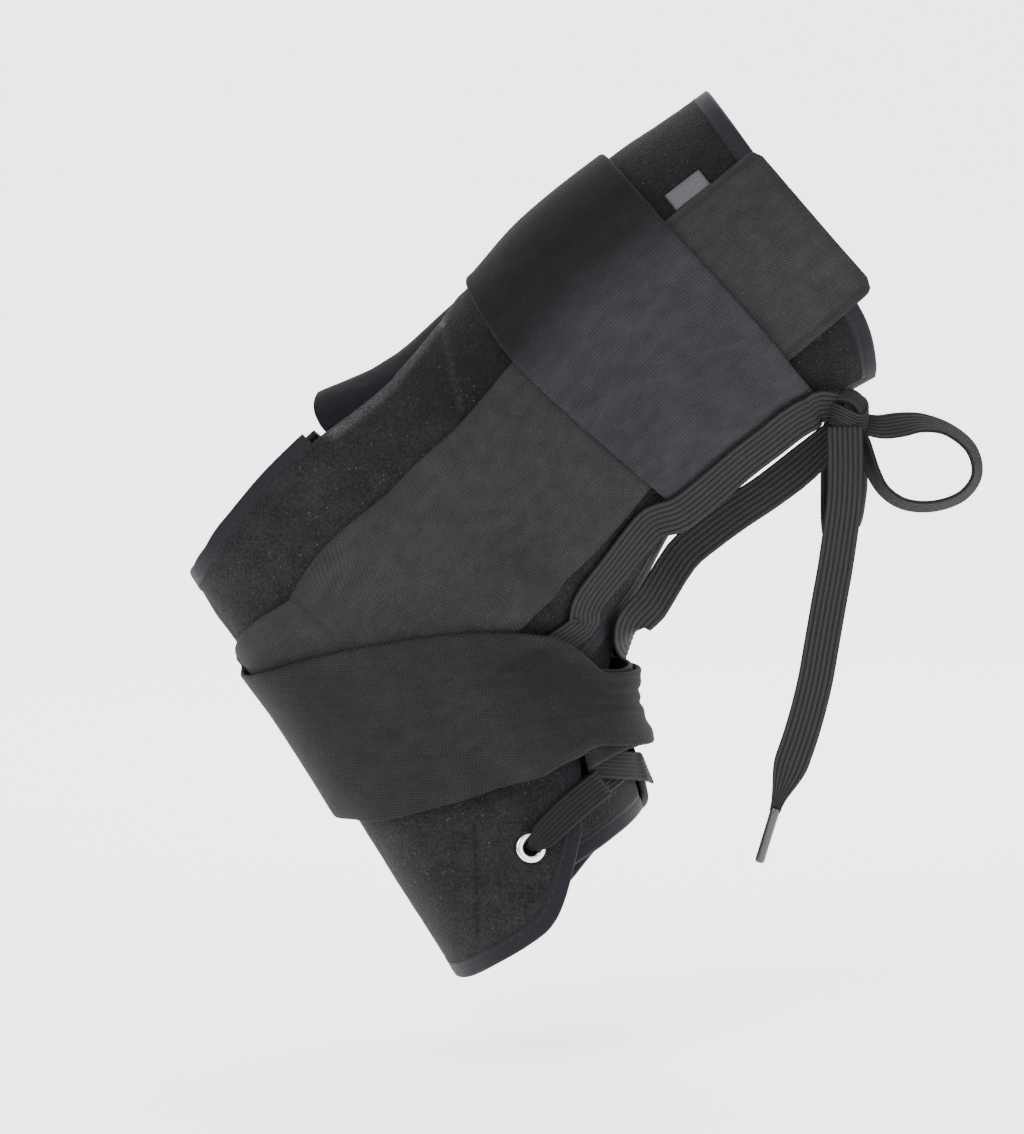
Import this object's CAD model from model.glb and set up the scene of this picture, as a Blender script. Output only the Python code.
"""Ankle brace: the looks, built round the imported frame. Tables are in millimetres, Blender in metres."""
import math

import bmesh
import bpy
import numpy as np
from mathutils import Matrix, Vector


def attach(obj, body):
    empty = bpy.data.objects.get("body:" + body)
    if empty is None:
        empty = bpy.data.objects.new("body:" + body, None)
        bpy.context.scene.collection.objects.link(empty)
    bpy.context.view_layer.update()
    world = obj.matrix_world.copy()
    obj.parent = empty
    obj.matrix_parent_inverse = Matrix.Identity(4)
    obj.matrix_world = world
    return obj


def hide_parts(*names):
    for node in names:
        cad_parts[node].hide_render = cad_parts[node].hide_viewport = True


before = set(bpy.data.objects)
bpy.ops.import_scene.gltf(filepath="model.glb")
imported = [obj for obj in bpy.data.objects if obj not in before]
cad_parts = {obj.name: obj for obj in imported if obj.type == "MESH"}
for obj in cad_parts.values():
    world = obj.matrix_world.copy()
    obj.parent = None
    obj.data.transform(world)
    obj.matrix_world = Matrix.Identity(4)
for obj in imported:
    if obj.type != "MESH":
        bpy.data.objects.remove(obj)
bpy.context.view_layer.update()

# Camera and lights
MM = 0.001
PHOTO_HEIGHT, PHOTO_MM = 1134, 0.295
SENSOR = 36
AZIMUTH, ELEVATION, DISTANCE = 2.0, 3.0, 1.5
CAMERA_TARGET = np.array([27.1, -12.0, -11.8])


def point_at(o, direction):
    o.rotation_mode = "QUATERNION"
    o.rotation_quaternion = Vector(direction).to_track_quat("-Z", "Y")
    bpy.context.scene.collection.objects.link(o)


def place_camera():
    data = bpy.data.cameras.new("camera")
    cam = bpy.data.objects.new("camera", data)
    a, e = math.radians(AZIMUTH), math.radians(ELEVATION)
    back = np.array([math.sin(a) * math.cos(e), -math.cos(a) * math.cos(e), math.sin(e)])
    cam.location = CAMERA_TARGET * MM + back * DISTANCE
    point_at(cam, -back)
    data.sensor_width = SENSOR
    data.lens = SENSOR * DISTANCE / (PHOTO_HEIGHT * PHOTO_MM * MM)
    data.clip_start, data.clip_end = 0.05, 20
    bpy.context.scene.camera = cam


def area(name, location, size, power):
    """A square light that faces the object."""
    light = bpy.data.lights.new(name, "AREA")
    light.size, light.energy = size, power
    o = bpy.data.objects.new(name, light)
    o.location = location
    point_at(o, Vector(LIGHT_TARGET) - Vector(location))


place_camera()

# Node trees
class Tree:
    """A material's node tree, with short calls for the nodes used here."""

    def __init__(self, name):
        self.mat = bpy.data.materials.new(name)
        self.mat.use_nodes = True
        self.nt = self.mat.node_tree
        self.nt.nodes.clear()
        self.out = self.nt.nodes.new("ShaderNodeOutputMaterial")
        self.bsdf = self.nt.nodes.new("ShaderNodeBsdfPrincipled")
        self.nt.links.new(self.bsdf.outputs[0], self.out.inputs[0])

    def put(self, socket, value):
        if isinstance(value, bpy.types.NodeSocket):
            self.nt.links.new(value, socket)
        else:
            socket.default_value = value

    def math(self, op, a, b=0.0, c=0.0):
        n = self.nt.nodes.new("ShaderNodeMath")
        n.operation = op
        for k, value in enumerate((a, b, c)):
            self.put(n.inputs[k], value)
        return n.outputs[0]

    def add(self, a, b):
        return self.math("ADD", a, b)

    def mul(self, a, b):
        return self.math("MULTIPLY", a, b)

    def wave(self, x, pitch):
        return self.math("SINE", self.math("MULTIPLY_ADD", x, 2 * math.pi / pitch, 0.0))

    def raised(self, x):
        """A wave's range from -1 to 1, brought to 0 to 1."""
        return self.math("MULTIPLY_ADD", x, 0.5, 0.5)

    def uv(self):
        n = self.nt.nodes.new("ShaderNodeUVMap")
        n.uv_map = "UVMap"
        s = self.nt.nodes.new("ShaderNodeSeparateXYZ")
        self.nt.links.new(n.outputs[0], s.inputs[0])
        return n.outputs[0], s.outputs[0], s.outputs[1]

    def objectmm(self):
        n = self.nt.nodes.new("ShaderNodeTexCoord")
        m = self.nt.nodes.new("ShaderNodeMapping")
        m.inputs["Scale"].default_value = (1000, 1000, 1000)
        self.nt.links.new(n.outputs["Object"], m.inputs[0])
        return m.outputs[0]

    def noise(self, vector, size, detail=2.0, rough=0.55):
        n = self.nt.nodes.new("ShaderNodeTexNoise")
        self.put(n.inputs["Vector"], vector)
        n.inputs["Scale"].default_value = 1.0 / size
        n.inputs["Detail"].default_value = detail
        n.inputs["Roughness"].default_value = rough
        return n.outputs[0]

    def cells(self, vector, size):
        n = self.nt.nodes.new("ShaderNodeTexVoronoi")
        self.put(n.inputs["Vector"], vector)
        n.inputs["Scale"].default_value = 1.0 / size
        return n

    def stretch(self, vector, scale):
        m = self.nt.nodes.new("ShaderNodeMapping")
        self.put(m.inputs[0], vector)
        m.inputs["Scale"].default_value = scale
        return m.outputs[0]

    def ramp(self, x, low, high):
        n = self.nt.nodes.new("ShaderNodeMapRange")
        n.clamp = True
        self.put(n.inputs[0], x)
        n.inputs[1].default_value, n.inputs[2].default_value = low, high
        return n.outputs[0]

    def blend(self, factor, a, b):
        n = self.nt.nodes.new("ShaderNodeMix")
        n.data_type = "RGBA"
        self.put(n.inputs[0], factor)
        for k, c in ((6, a), (7, b)):
            self.put(n.inputs[k], (*c, 1.0) if isinstance(c, tuple) else c)
        return n.outputs[2]

    def shade(self, colour, factor):
        n = self.nt.nodes.new("ShaderNodeVectorMath")
        n.operation = "SCALE"
        self.put(n.inputs[0], colour)
        self.put(n.inputs["Scale"], factor)
        return n.outputs[0]

    def attribute(self, name):
        n = self.nt.nodes.new("ShaderNodeAttribute")
        n.attribute_name = name
        return n.outputs["Fac"]

    def finish(self, colour, roughness, height=None, depth=0.0, **sockets):
        self.put(self.bsdf.inputs["Base Color"], colour)
        self.put(self.bsdf.inputs["Roughness"], roughness)
        if height is not None:
            n = self.nt.nodes.new("ShaderNodeBump")
            n.inputs["Strength"].default_value = 1.0
            n.inputs["Distance"].default_value = depth * MM
            self.put(n.inputs["Height"], height)
            self.nt.links.new(n.outputs[0], self.bsdf.inputs["Normal"])
        for name, value in sockets.items():
            self.bsdf.inputs[name.replace("_", " ")].default_value = value
        return self.mat


TWILL_PITCH, TAPE_RIB_PITCH, STITCH_LENGTH, STITCH_LINE = 1.15, 0.55, 2.6, 1.2


def pile_material(name, dark, light, fleck):
    """Short loops: fine tufts, softly mottled, with sparse bright flecks."""
    t = Tree(name)
    p = t.objectmm()
    tuft = t.noise(p, 0.75, 3.0, 0.65)
    mottle = t.noise(p, 9.0, 2.0)
    spot = t.cells(p, 0.8).outputs["Distance"]
    random = t.noise(t.stretch(p, (1.3, 1.1, 1.2)), 1.4, 1.0)
    bright = t.mul(t.ramp(spot, 0.26, 0.10), t.ramp(random, 0.60, 0.72))
    base = t.blend(t.ramp(t.add(t.mul(tuft, 0.75), t.mul(mottle, 0.25)), 0.36, 0.66), dark, light)
    base = t.shade(base, t.attribute("shade"))
    colour = t.blend(t.mul(bright, 0.8), base, fleck)
    return t.finish(colour, 0.93, t.add(tuft, t.mul(spot, 0.5)), 0.55, Sheen_Weight=0.03, Sheen_Roughness=0.4,
                    Specular_IOR_Level=0.12)


def webbing_material(name, dark, light):
    """Twill webbing: raised dots on a slanted lattice, with a brushed face."""
    t = Tree(name)
    uv, u, v = t.uv()
    wobble = t.mul(t.noise(uv, 6.0, 1.0), 0.5)
    a = t.wave(t.add(t.add(u, t.mul(v, 0.5)), wobble), TWILL_PITCH)
    b = t.wave(t.add(t.add(v, t.mul(u, -0.5)), wobble), TWILL_PITCH)
    weave = t.raised(t.mul(a, b))
    fuzz = t.noise(uv, 0.5, 3.0, 0.7)
    mottle = t.noise(t.stretch(uv, (1.0, 0.6, 1.0)), 3.6, 3.0)
    level = t.add(t.mul(weave, 0.28), t.add(t.mul(fuzz, 0.36), t.mul(mottle, 0.36)))
    colour = t.shade(t.blend(t.ramp(level, 0.28, 0.72), dark, light), t.attribute("shade"))
    return t.finish(colour, 0.88, t.add(t.mul(weave, 0.8), t.mul(fuzz, 0.3)), 0.28, Sheen_Weight=0.02,
                    Specular_IOR_Level=0.15)


def knit_material(name, dark, light):
    """Brushed elastic: fine lines along it, softened by a nap."""
    t = Tree(name)
    uv, u, v = t.uv()
    line = t.raised(t.wave(t.add(v, t.mul(t.noise(uv, 4.0, 1.0), 0.8)), 0.8))
    cross = t.raised(t.wave(t.add(u, t.mul(t.noise(uv, 3.0, 1.0), 0.8)), 0.9))
    fuzz = t.noise(uv, 0.7, 4.0, 0.7)
    mottle = t.noise(t.stretch(uv, (0.6, 1.0, 1.0)), 5.0, 3.0)
    level = t.add(t.mul(t.mul(line, cross), 0.2), t.add(t.mul(fuzz, 0.45), t.mul(mottle, 0.35)))
    colour = t.shade(t.blend(t.ramp(level, 0.30, 0.68), dark, light), t.attribute("shade"))
    return t.finish(colour, 0.92, t.add(fuzz, t.mul(line, 0.35)), 0.22, Sheen_Weight=0.02,
                    Specular_IOR_Level=0.12)


def tape_material(name, colour, thread):
    """Folded satin tape with fine cross ribs and a row of stitches near its inner edge."""
    t = Tree(name)
    uv, u, v = t.uv()
    rib = t.raised(t.wave(v, TAPE_RIB_PITCH))
    fuzz = t.noise(uv, 1.2, 3.0)
    from_line = t.math("ABSOLUTE", t.add(u, -STITCH_LINE))
    sewn = t.math("GREATER_THAN", t.wave(v, STITCH_LENGTH), -0.45)
    stitch = t.mul(t.math("LESS_THAN", from_line, 0.28), sewn)
    groove = t.math("LESS_THAN", from_line, 0.5)
    worn = t.ramp(t.add(t.mul(rib, 0.3), t.mul(fuzz, 0.7)), 0.25, 0.8)
    base = t.shade(t.blend(worn, tuple(0.65 * c for c in colour), colour), t.attribute("shade"))
    height = t.add(t.add(t.mul(rib, 0.25), t.mul(fuzz, 0.3)), t.add(t.mul(stitch, 0.8), t.mul(groove, -0.6)))
    return t.finish(t.blend(t.mul(stitch, 0.8), base, thread), 0.68, height, 0.2, Specular_IOR_Level=0.16)


def lace_material(name, dark, light):
    """Braid: slanted picks over the ribs."""
    t = Tree(name)
    uv, u, v = t.uv()
    a = t.wave(t.add(v, t.mul(u, 0.8)), 0.9)
    b = t.wave(t.add(v, t.mul(u, -0.8)), 0.9)
    pick = t.raised(t.mul(a, b))
    fuzz = t.noise(uv, 0.8, 3.0, 0.6)
    ridge = t.attribute("ridge")
    level = t.add(t.mul(pick, 0.2), t.add(t.mul(fuzz, 0.25), t.mul(ridge, 0.55)))
    colour = t.blend(t.ramp(level, 0.25, 0.85), dark, light)
    return t.finish(colour, 0.8, t.add(pick, t.mul(fuzz, 0.4)), 0.18, Specular_IOR_Level=0.2)


def plain_material(name, dark, light, roughness, size, depth, **sockets):
    """An even surface with fine mottling."""
    t = Tree(name)
    p = t.objectmm()
    n = t.noise(p, size, 3.0)
    colour = t.blend(t.ramp(n, 0.3, 0.7), dark, light)
    return t.finish(colour, t.math("MULTIPLY_ADD", n, 0.12, roughness), n, depth, **sockets)


MATERIALS = {
    "pile": pile_material("pile", (0.0042, 0.0040, 0.0042), (0.0185, 0.0178, 0.0190), (0.13, 0.125, 0.13)),
    "webbing": webbing_material("webbing", (0.0080, 0.0073, 0.0078), (0.0285, 0.0262, 0.0278)),
    "knit": knit_material("knit", (0.0115, 0.0107, 0.0128), (0.0325, 0.0300, 0.0362)),
    "binding": tape_material("binding", (0.0042, 0.0047, 0.0078), (0.0085, 0.0092, 0.0135)),
    "gusset": plain_material("gusset", (0.0018, 0.0020, 0.0030), (0.0042, 0.0047, 0.0070), 0.8, 1.3, 0.12,
                             Specular_IOR_Level=0.08),
    "lace": lace_material("lace", (0.0012, 0.0011, 0.0012), (0.0190, 0.0174, 0.0193)),
    "label": plain_material("label", (0.018, 0.018, 0.022), (0.034, 0.034, 0.042), 0.6, 0.7, 0.08),
    "aglet": plain_material("aglet", (0.006, 0.006, 0.007), (0.011, 0.011, 0.013), 0.3, 2.0, 0.02,
                            Coat_Weight=0.3),
    "eyelet_metal": plain_material("eyelet_metal", (0.62, 0.63, 0.65), (0.78, 0.79, 0.80), 0.16, 1.5, 0.01,
                                   Metallic=1.0),
}

# The form, as in the part's own source
BRACE_HEIGHT, BRACE_LENGTH, BRACE_WIDTH, ANKLE_HEIGHT = 205.0, 170.0, 84.0, 67.6
PITCH = math.radians(55.4)
# A place on the form is around it, from 0 in front to 1 at the back or sole, and along it by sections.
# Each section: front x, front z, back x, back z, half width, where the halves part, squareness, ridge.
SECTIONS = np.array([
    [0.212, 1.005, -0.326, 1.000, 0.452, 0.50, 2.0, 0.000],
    [0.197, 0.878, -0.326, 0.839, 0.435, 0.50, 2.0, 0.000],
    [0.194, 0.751, -0.315, 0.702, 0.405, 0.50, 2.0, 0.000],
    [0.224, 0.634, -0.279, 0.571, 0.387, 0.50, 2.0, 0.000],
    [0.292, 0.532, -0.262, 0.410, 0.399, 0.50, 2.0, 0.000],
    [0.336, 0.470, -0.300, 0.224, 0.423, 0.50, 2.0, 0.012],
    [0.377, 0.428, -0.271, 0.054, 0.423, 0.52, 2.1, 0.036],
    [0.412, 0.401, -0.106, 0.024, 0.411, 0.56, 2.3, 0.060],
    [0.457, 0.382, 0.129, 0.032, 0.417, 0.60, 2.4, 0.083],
    [0.541, 0.367, 0.388, 0.024, 0.459, 0.63, 2.5, 0.107],
    [0.624, 0.346, 0.671, 0.015, 0.494, 0.64, 2.5, 0.119],
])
# Along, middle around, half width around
THROAT = np.array([[-0.6, 0.0, 0.105], [0.5, 0.0, 0.100], [2.8, 0.0, 0.098], [4.2, 0.0, 0.102],
                   [6.5, -0.005, 0.112], [8.5, 0.066, 0.143], [9.2, 0.132, 0.155],
                   [9.9, 0.196, 0.165], [10.4, 0.240, 0.173]])
# Along, around
REAR_EDGE = np.array([[-0.6, 1.0], [3.0, 1.0], [3.2, 0.950], [3.8, 0.900], [4.5, 0.855], [5.2, 0.832],
                      [5.8, 0.820], [6.3, 0.840], [6.7, 0.895], [7.0, 1.0], [10.4, 1.0]])
# Around, along
FRONT_RIM = np.array([[0.0, 9.62], [0.15, 9.80], [0.30, 9.93], [0.45, 10.05], [0.60, 9.98], [1.0, 9.88]])
TOP_RIM = np.array([[0.0, 0.42], [0.12, 0.20], [0.28, 0.02], [1.0, 0.0]])
# Around, along, gather
STRAP_LINE = [[0.104, 7.62, 1.0], [0.150, 7.58, 0.55], [0.205, 7.57, 0.08], [0.300, 7.74, 0], [0.427, 7.96, 0],
              [0.625, 8.15, 0], [0.829, 8.22, 0], [1.050, 8.13, 0], [1.250, 7.80, 0], [1.450, 7.18, 0],
              [1.560, 6.20, 0], [1.590, 5.35, 0], [1.556, 4.14, 0], [1.560, 3.02, 0], [1.548, 1.26, 0],
              [1.500, -0.30, 0]]
UNDER_START = [[-0.160, 7.86, 0.6], [-0.060, 7.66, 1.0], [0.020, 7.60, 1.0]]
OVER_START = [[-0.270, 8.50, 0.2], [-0.130, 8.05, 0.8], [0.000, 7.70, 1.0]]
# Around, upper edge, lower edge
CUFF_EDGES = np.array([[0.0, 0.74, 2.86], [0.25, 0.76, 2.94], [0.66, 0.87, 3.06], [1.0, 0.92, 2.88]])
# Along, width of the strand that crosses from it
EYELETS = [(9.5, 9.0), (8.55, 6.0), (7.5, 6.0), (6.25, 0.0)]
GUSSET_TOP, HEEL_TOP, HEEL_BOTTOM = 3.25, 4.72, 7.0
TONGUE_TOP, TONGUE_FRONT, TONGUE_COVER, COVER_RAMP = 0.40, 9.72, 0.115, 0.15
SKIN_GAP, CLOTH_GAP, SEAM_GAP = 0.4, 0.6, 0.3
BODY_WALL, TONGUE_WALL, GUSSET_WALL, STRAP_WALL, CUFF_WALL = 2.2, 2.3, 1.8, 1.3, 1.6
BINDING_LIP = 0.2
STRAP_WIDTH, GATHERED_WIDTH, LACE_WIDTH, LACE_WALL = 50.8, 30.0, 11.0, 1.0
LACING_START, EYELET_LIFT, THROAT_LIFT, CROSSING_EASE = 4.9, 3.4, 1.9, 1.0
SOLE_EDGE_EASE, STRAP_STEP, EYELET_INSET, BINDING_REACH = 0.65, 1.9, 11.7, 0.045
CORNER_REACH, CORNER_RISE = 0.15, 0.45
CUFF_START, CUFF_OVERLAP, CUFF_GIRTH = -0.30, 30.0, 122.0
STRAP_CORNER, LACE_RIBS, EYELET_HOLE, NARROWEST_SHEET = 3.5, 7, 2.9, 10.5
LABEL_LENGTH, LABEL_WIDTH, LABEL_WALL = 12.5, 6.0, 0.6
BODY_ROWS, BODY_COLUMNS = 230, 96
STITCHED_END, STITCH_INSET, SEAM_NEAR = 42, 2.0, 0.985
# Distances across the tape from the edge it covers, crowded at its own edges
TAPE_ACROSS = np.array([-0.82, 0.18, 0.38, 0.68, 0.98, 1.38, 1.98, 2.58, 3.18, 3.78,
                        4.28, 4.68, 4.98, 5.18, 5.30])
# The photo's pixel at the origin, and seams read off it: two ends in pixels, depth, change of shade
PHOTO_ORIGIN = (420, 527)
BODY_SEAMS = (((478, 820), (486, 925), 0.35, -0.45), ((207, 585), (262, 655), 0.35, -0.45),
              ((446, 325), (466, 412), 0.25, 1.6))


def smooth(x):
    t = np.clip(x, 0, 1)
    return t * t * (3 - 2 * t)


def mix(a, b, t):
    return a + (b - a) * t


def unit(vectors):
    return vectors / np.linalg.norm(vectors, axis=-1, keepdims=True)


def bell(x, width):
    """1 at 0, falling away on both sides."""
    return np.exp(-(x / width) ** 2)


def lengths(points):
    """Distance along a line of points from its first."""
    return np.concatenate([[0], np.cumsum(np.linalg.norm(np.diff(points, axis=0), axis=1))])


def between(a, b, c, d, t):
    """A point of the smooth curve from b to c, whose neighbours are a and d."""
    return 0.5 * (2 * b + (c - a) * t + (2 * a - 5 * b + 4 * c - d) * t * t + (3 * b - a - 3 * c + d) * t ** 3)


def read(table, x, column=1):
    """Monotone smooth reading of one column of a table by its first."""
    k, y = table[:, 0], table[:, column]
    x = np.clip(np.asarray(x, float), k[0], k[-1])
    i = np.clip(np.searchsorted(k, x, side="left") - 1, 0, len(k) - 2)
    h = np.diff(k)
    slope = np.diff(y) / h
    before, after = slope[np.maximum(i - 1, 0)], slope[np.minimum(i + 1, len(slope) - 1)]
    here = slope[i]
    with np.errstate(divide="ignore", invalid="ignore"):
        start = np.where(before * here > 0, 2 * before * here / (before + here), 0)
        end = np.where(after * here > 0, 2 * after * here / (after + here), 0)
    t = (x - k[i]) / h[i]
    a, b = y[i], y[i + 1]
    return mix(a, b, t) + t * (1 - t) * ((start * (1 - t) - end * t) * h[i] + (b - a) * (2 * t - 1))


PADDED = np.vstack([2 * SECTIONS[0] - SECTIONS[1], SECTIONS, 2 * SECTIONS[-1] - SECTIONS[-2]])


def form(u, v):
    """Points on the form in the foot's frame, millimetres."""
    u, v = np.broadcast_arrays(np.asarray(u, float), np.asarray(v, float))
    i = np.clip(np.floor(v), 0, len(SECTIONS) - 2).astype(int)
    t = (v - i)[..., None]
    s = between(*(PADDED[i + k] for k in range(4)), t)
    fx, fz = s[..., 0] * BRACE_LENGTH, s[..., 1] * BRACE_HEIGHT - ANKLE_HEIGHT
    bx, bz = s[..., 2] * BRACE_LENGTH, s[..., 3] * BRACE_HEIGHT - ANKLE_HEIGHT
    split, square, ridge = s[..., 5], s[..., 6], s[..., 7] * BRACE_WIDTH
    depth = np.hypot(bx - fx, bz - fz)
    co, si = np.cos(u * math.pi), np.sin(u * math.pi)
    front = co >= 0
    reach = np.where(front, split, 1 - split) * depth
    power = np.where(front, 2.0, square)
    r = (np.abs(co / reach) ** power + np.abs(si / (s[..., 4] * BRACE_WIDTH)) ** power) ** (-1 / power)
    share = split - r * co / depth
    y = np.where(front, ridge * (r * co / reach) ** 2, 0) - r * si
    return np.stack([mix(fx, bx, share), y, mix(fz, bz, share)], -1)


def frame_at(u, v, step=1e-3):
    """The form's two directions and its outward normal."""
    du = (form(u + step, v) - form(u - step, v)) / (2 * step)
    dv = (form(u, v + step) - form(u, v - step)) / (2 * step)
    return du, dv, unit(np.cross(du, dv))


def lifted(u, v, height=0.0):
    n = frame_at(u, v)[2]
    return form(u, v) + n * np.asarray(height)[..., None]


def walk(u, v, direction, distance):
    """Places reached over the form from (u, v), heading in a direction in space."""
    distance = np.asarray(distance, float)
    u, v, _ = np.broadcast_arrays(u, v, distance)
    u, v = u.astype(float), v.astype(float)
    steps = max(1, int(math.ceil(np.max(np.abs(distance)) / 3)))
    heading = np.broadcast_to(direction, (*u.shape, 3))
    for _ in range(steps):
        du, dv, n = frame_at(u, v)
        heading = unit(heading - np.sum(heading * n, -1, keepdims=True) * n)
        aa, ab, bb = (np.sum(p * q, -1) for p, q in ((du, du), (du, dv), (dv, dv)))
        ra, rb = (np.sum(p * heading, -1) * distance / steps for p in (du, dv))
        det = aa * bb - ab * ab
        u, v = u + (ra * bb - rb * ab) / det, v + (rb * aa - ra * ab) / det
    return u, v


def catmull(rows, per_span):
    """A smooth curve through rows of numbers."""
    p = np.asarray(rows, float)
    p = np.vstack([p[:1], p, p[-1:]])
    t = np.arange(per_span)[:, None] / per_span
    out = []
    for i in range(len(p) - 3):
        out.append(between(*p[i:i + 4], t))
    return np.vstack([*out, p[-1:]])


def spaced(rows, points, spacing):
    """Rows resampled at even distances along their points."""
    far = lengths(points)
    at = np.linspace(0, far[-1], max(2, int(round(far[-1] / spacing))) + 1)
    return np.stack([np.interp(at, far, column) for column in np.asarray(rows).T], -1), at


def path_on_form(places, spacing):
    fine = catmull(places, 12)
    return spaced(fine, lifted(fine[:, 0], fine[:, 1]), spacing)


def hashed(ix, iy, seed):
    x = np.sin(ix * 127.1 + iy * 311.7 + seed * 74.7) * 43758.5453
    return x - np.floor(x)


def value_noise(x, y, seed=0):
    """Smooth noise from -1 to 1 on a unit lattice."""
    ix, iy = np.floor(x), np.floor(y)
    fx, fy = smooth(x - ix), smooth(y - iy)
    low = mix(hashed(ix, iy, seed), hashed(ix + 1, iy, seed), fx)
    high = mix(hashed(ix, iy + 1, seed), hashed(ix + 1, iy + 1, seed), fx)
    return 2 * mix(low, high, fy) - 1


# Heights of the layers
def wrapped(u):
    """Around, brought to -1 to 1."""
    return u - 2 * np.round(u / 2)


def from_throat(u, v):
    """How far round a place lies from the throat's edge."""
    return np.abs(wrapped(u) - read(THROAT, v, 1)) - read(THROAT, v, 2)


def body_bottom(u, v):
    over = 1 - smooth((from_throat(u, v) - TONGUE_COVER) / COVER_RAMP)
    return SKIN_GAP + over * (TONGUE_WALL + CLOTH_GAP)


def body_top(u, v):
    return body_bottom(u, v) + BODY_WALL


def lacing_share(u, v):
    side = 1 - smooth((from_throat(u, v) - 0.16) / COVER_RAMP)
    return side * smooth((v - LACING_START + 0.4) / 0.4)


def over_lacing(u, v):
    return lacing_share(u, v) * mix(THROAT_LIFT, EYELET_LIFT, smooth((from_throat(u, v) + 0.06) / 0.12))


def strap_samples(start, side, spacing):
    rows = np.array([*start, *STRAP_LINE], float)
    rows[:, 0] *= side
    return path_on_form(rows, spacing)


def half_strap(gather):
    return mix(STRAP_WIDTH, GATHERED_WIDTH, np.clip(gather, 0, 1)) / 2


COARSE = {}
for key, start, side in (("under", UNDER_START, -1), ("over", OVER_START, 1)):
    rows, _ = strap_samples(start, side, 3.5)
    COARSE[key] = (lifted(rows[:, 0], rows[:, 1]), half_strap(rows[:, 2]))


def covered(u, v, key):
    """1 on a strap, falling to 0 beyond its edges."""
    points, half = COARSE[key]
    p = form(u, v)
    beyond = np.full(p.shape[:-1], 1e9)
    for q, h in zip(points, half):
        beyond = np.minimum(beyond, np.linalg.norm(p - q, axis=-1) - h)
    return 1 - smooth((beyond - 3) / 9)


def over_sole_edge(u, v):
    away = np.abs(np.abs(wrapped(u)) - 0.7) - 0.22
    return smooth((v - 6) / 0.6) * (1 - smooth(away / 0.08))


def under_bottom(u, v):
    return body_top(u, v) + CLOTH_GAP + over_lacing(u, v) + SOLE_EDGE_EASE * over_sole_edge(u, v)


def over_bottom(u, v):
    step = STRAP_STEP + CROSSING_EASE * np.maximum(lacing_share(u, v), over_sole_edge(u, v))
    return under_bottom(u, v) + step * covered(u, v, "under")


def cuff_bottom(u, v):
    return body_top(u, v) + CLOTH_GAP + STRAP_STEP * np.maximum(covered(u, v, "under"), covered(u, v, "over"))


# Meshes
TURN = np.array([[math.cos(PITCH), 0, math.sin(PITCH)], [0, 1, 0], [-math.sin(PITCH), 0, math.cos(PITCH)]])


def to_row(p):
    """Foot's frame to the row frame."""
    return np.asarray(p) @ TURN.T


def mesh_piece(name, verts, quads, material, nodes, uv=None, attributes=None):
    """An object from points in millimetres in the row frame, which stands in for the nodes."""
    mesh = bpy.data.meshes.new(name)
    mesh.from_pydata((np.asarray(verts) * MM).tolist(), [], [list(q) for q in quads])
    turned_out = bmesh.new()
    turned_out.from_mesh(mesh)
    bmesh.ops.recalc_face_normals(turned_out, faces=turned_out.faces)
    turned_out.to_mesh(mesh)
    turned_out.free()
    mesh.update()
    if uv is not None:
        layer = mesh.uv_layers.new(name="UVMap")
        loops = np.zeros(len(mesh.loops), np.int32)
        mesh.loops.foreach_get("vertex_index", loops)
        layer.data.foreach_set("uv", np.asarray(uv, np.float32)[loops].ravel())
    for key, values in (attributes or {}).items():
        a = mesh.attributes.new(key, "FLOAT", "POINT")
        a.data.foreach_set("value", np.asarray(values, np.float32).ravel())
    mesh.polygons.foreach_set("use_smooth", np.ones(len(mesh.polygons), bool))
    mesh.materials.append(MATERIALS[material])
    o = bpy.data.objects.new(name, mesh)
    bpy.context.scene.collection.objects.link(o)
    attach(o, "root")
    if nodes:
        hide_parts(*nodes)
    return o


def grid_quads(rows, cols, offset=0, flip=False):
    i, k = np.meshgrid(np.arange(rows - 1), np.arange(cols - 1), indexing="ij")
    a = i * cols + k + offset
    q = np.stack([a, a + 1, a + cols + 1, a + cols], -1).reshape(-1, 4)
    return q[:, ::-1] if flip else q


def sheet_faces(verts, rows, cols, up, holes=()):
    """Faces of a closed sheet: a low grid, a high grid and the wall round them, wound by the way up."""
    count = rows * cols
    cells = grid_quads(rows, cols)
    ring = np.concatenate([np.arange(cols), cols * np.arange(1, rows) + cols - 1,
                           count - 2 - np.arange(cols - 1), cols * np.arange(rows - 2, 0, -1)])
    after = np.roll(ring, -1)
    wall = np.stack([ring, ring + count, after + count, after], -1)
    quads = np.concatenate([cells, grid_quads(rows, cols, count, True), wall])
    if holes:
        quads = cut_holes(quads, verts, rows, cols, holes)
    a, b, c = (verts[count:][cells[:, k]] for k in range(3))
    flip = np.sum(np.cross(b - a, c - a) * up[cells[:, 0]]) > 0
    return quads[:, ::-1] if flip else quads


def cloth(name, low, high, uv, material, nodes, shade=None, holes=()):
    """A closed sheet between two grids of points in the foot's frame."""
    rows, cols = low.shape[:2]
    verts = to_row(np.concatenate([low.reshape(-1, 3), high.reshape(-1, 3)]))
    quads = sheet_faces(verts, rows, cols, to_row((high - low).reshape(-1, 3)), holes)
    used = np.unique(quads)
    place = np.full(len(verts), -1)
    place[used] = np.arange(len(used))
    shade = np.ones(rows * cols) if shade is None else shade.ravel()
    uv = np.concatenate([uv.reshape(-1, 2)] * 2)[used]
    shade = np.concatenate([shade, shade])[used]
    return mesh_piece(name, verts[used], place[quads], material, nodes, uv, {"shade": shade})


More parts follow.
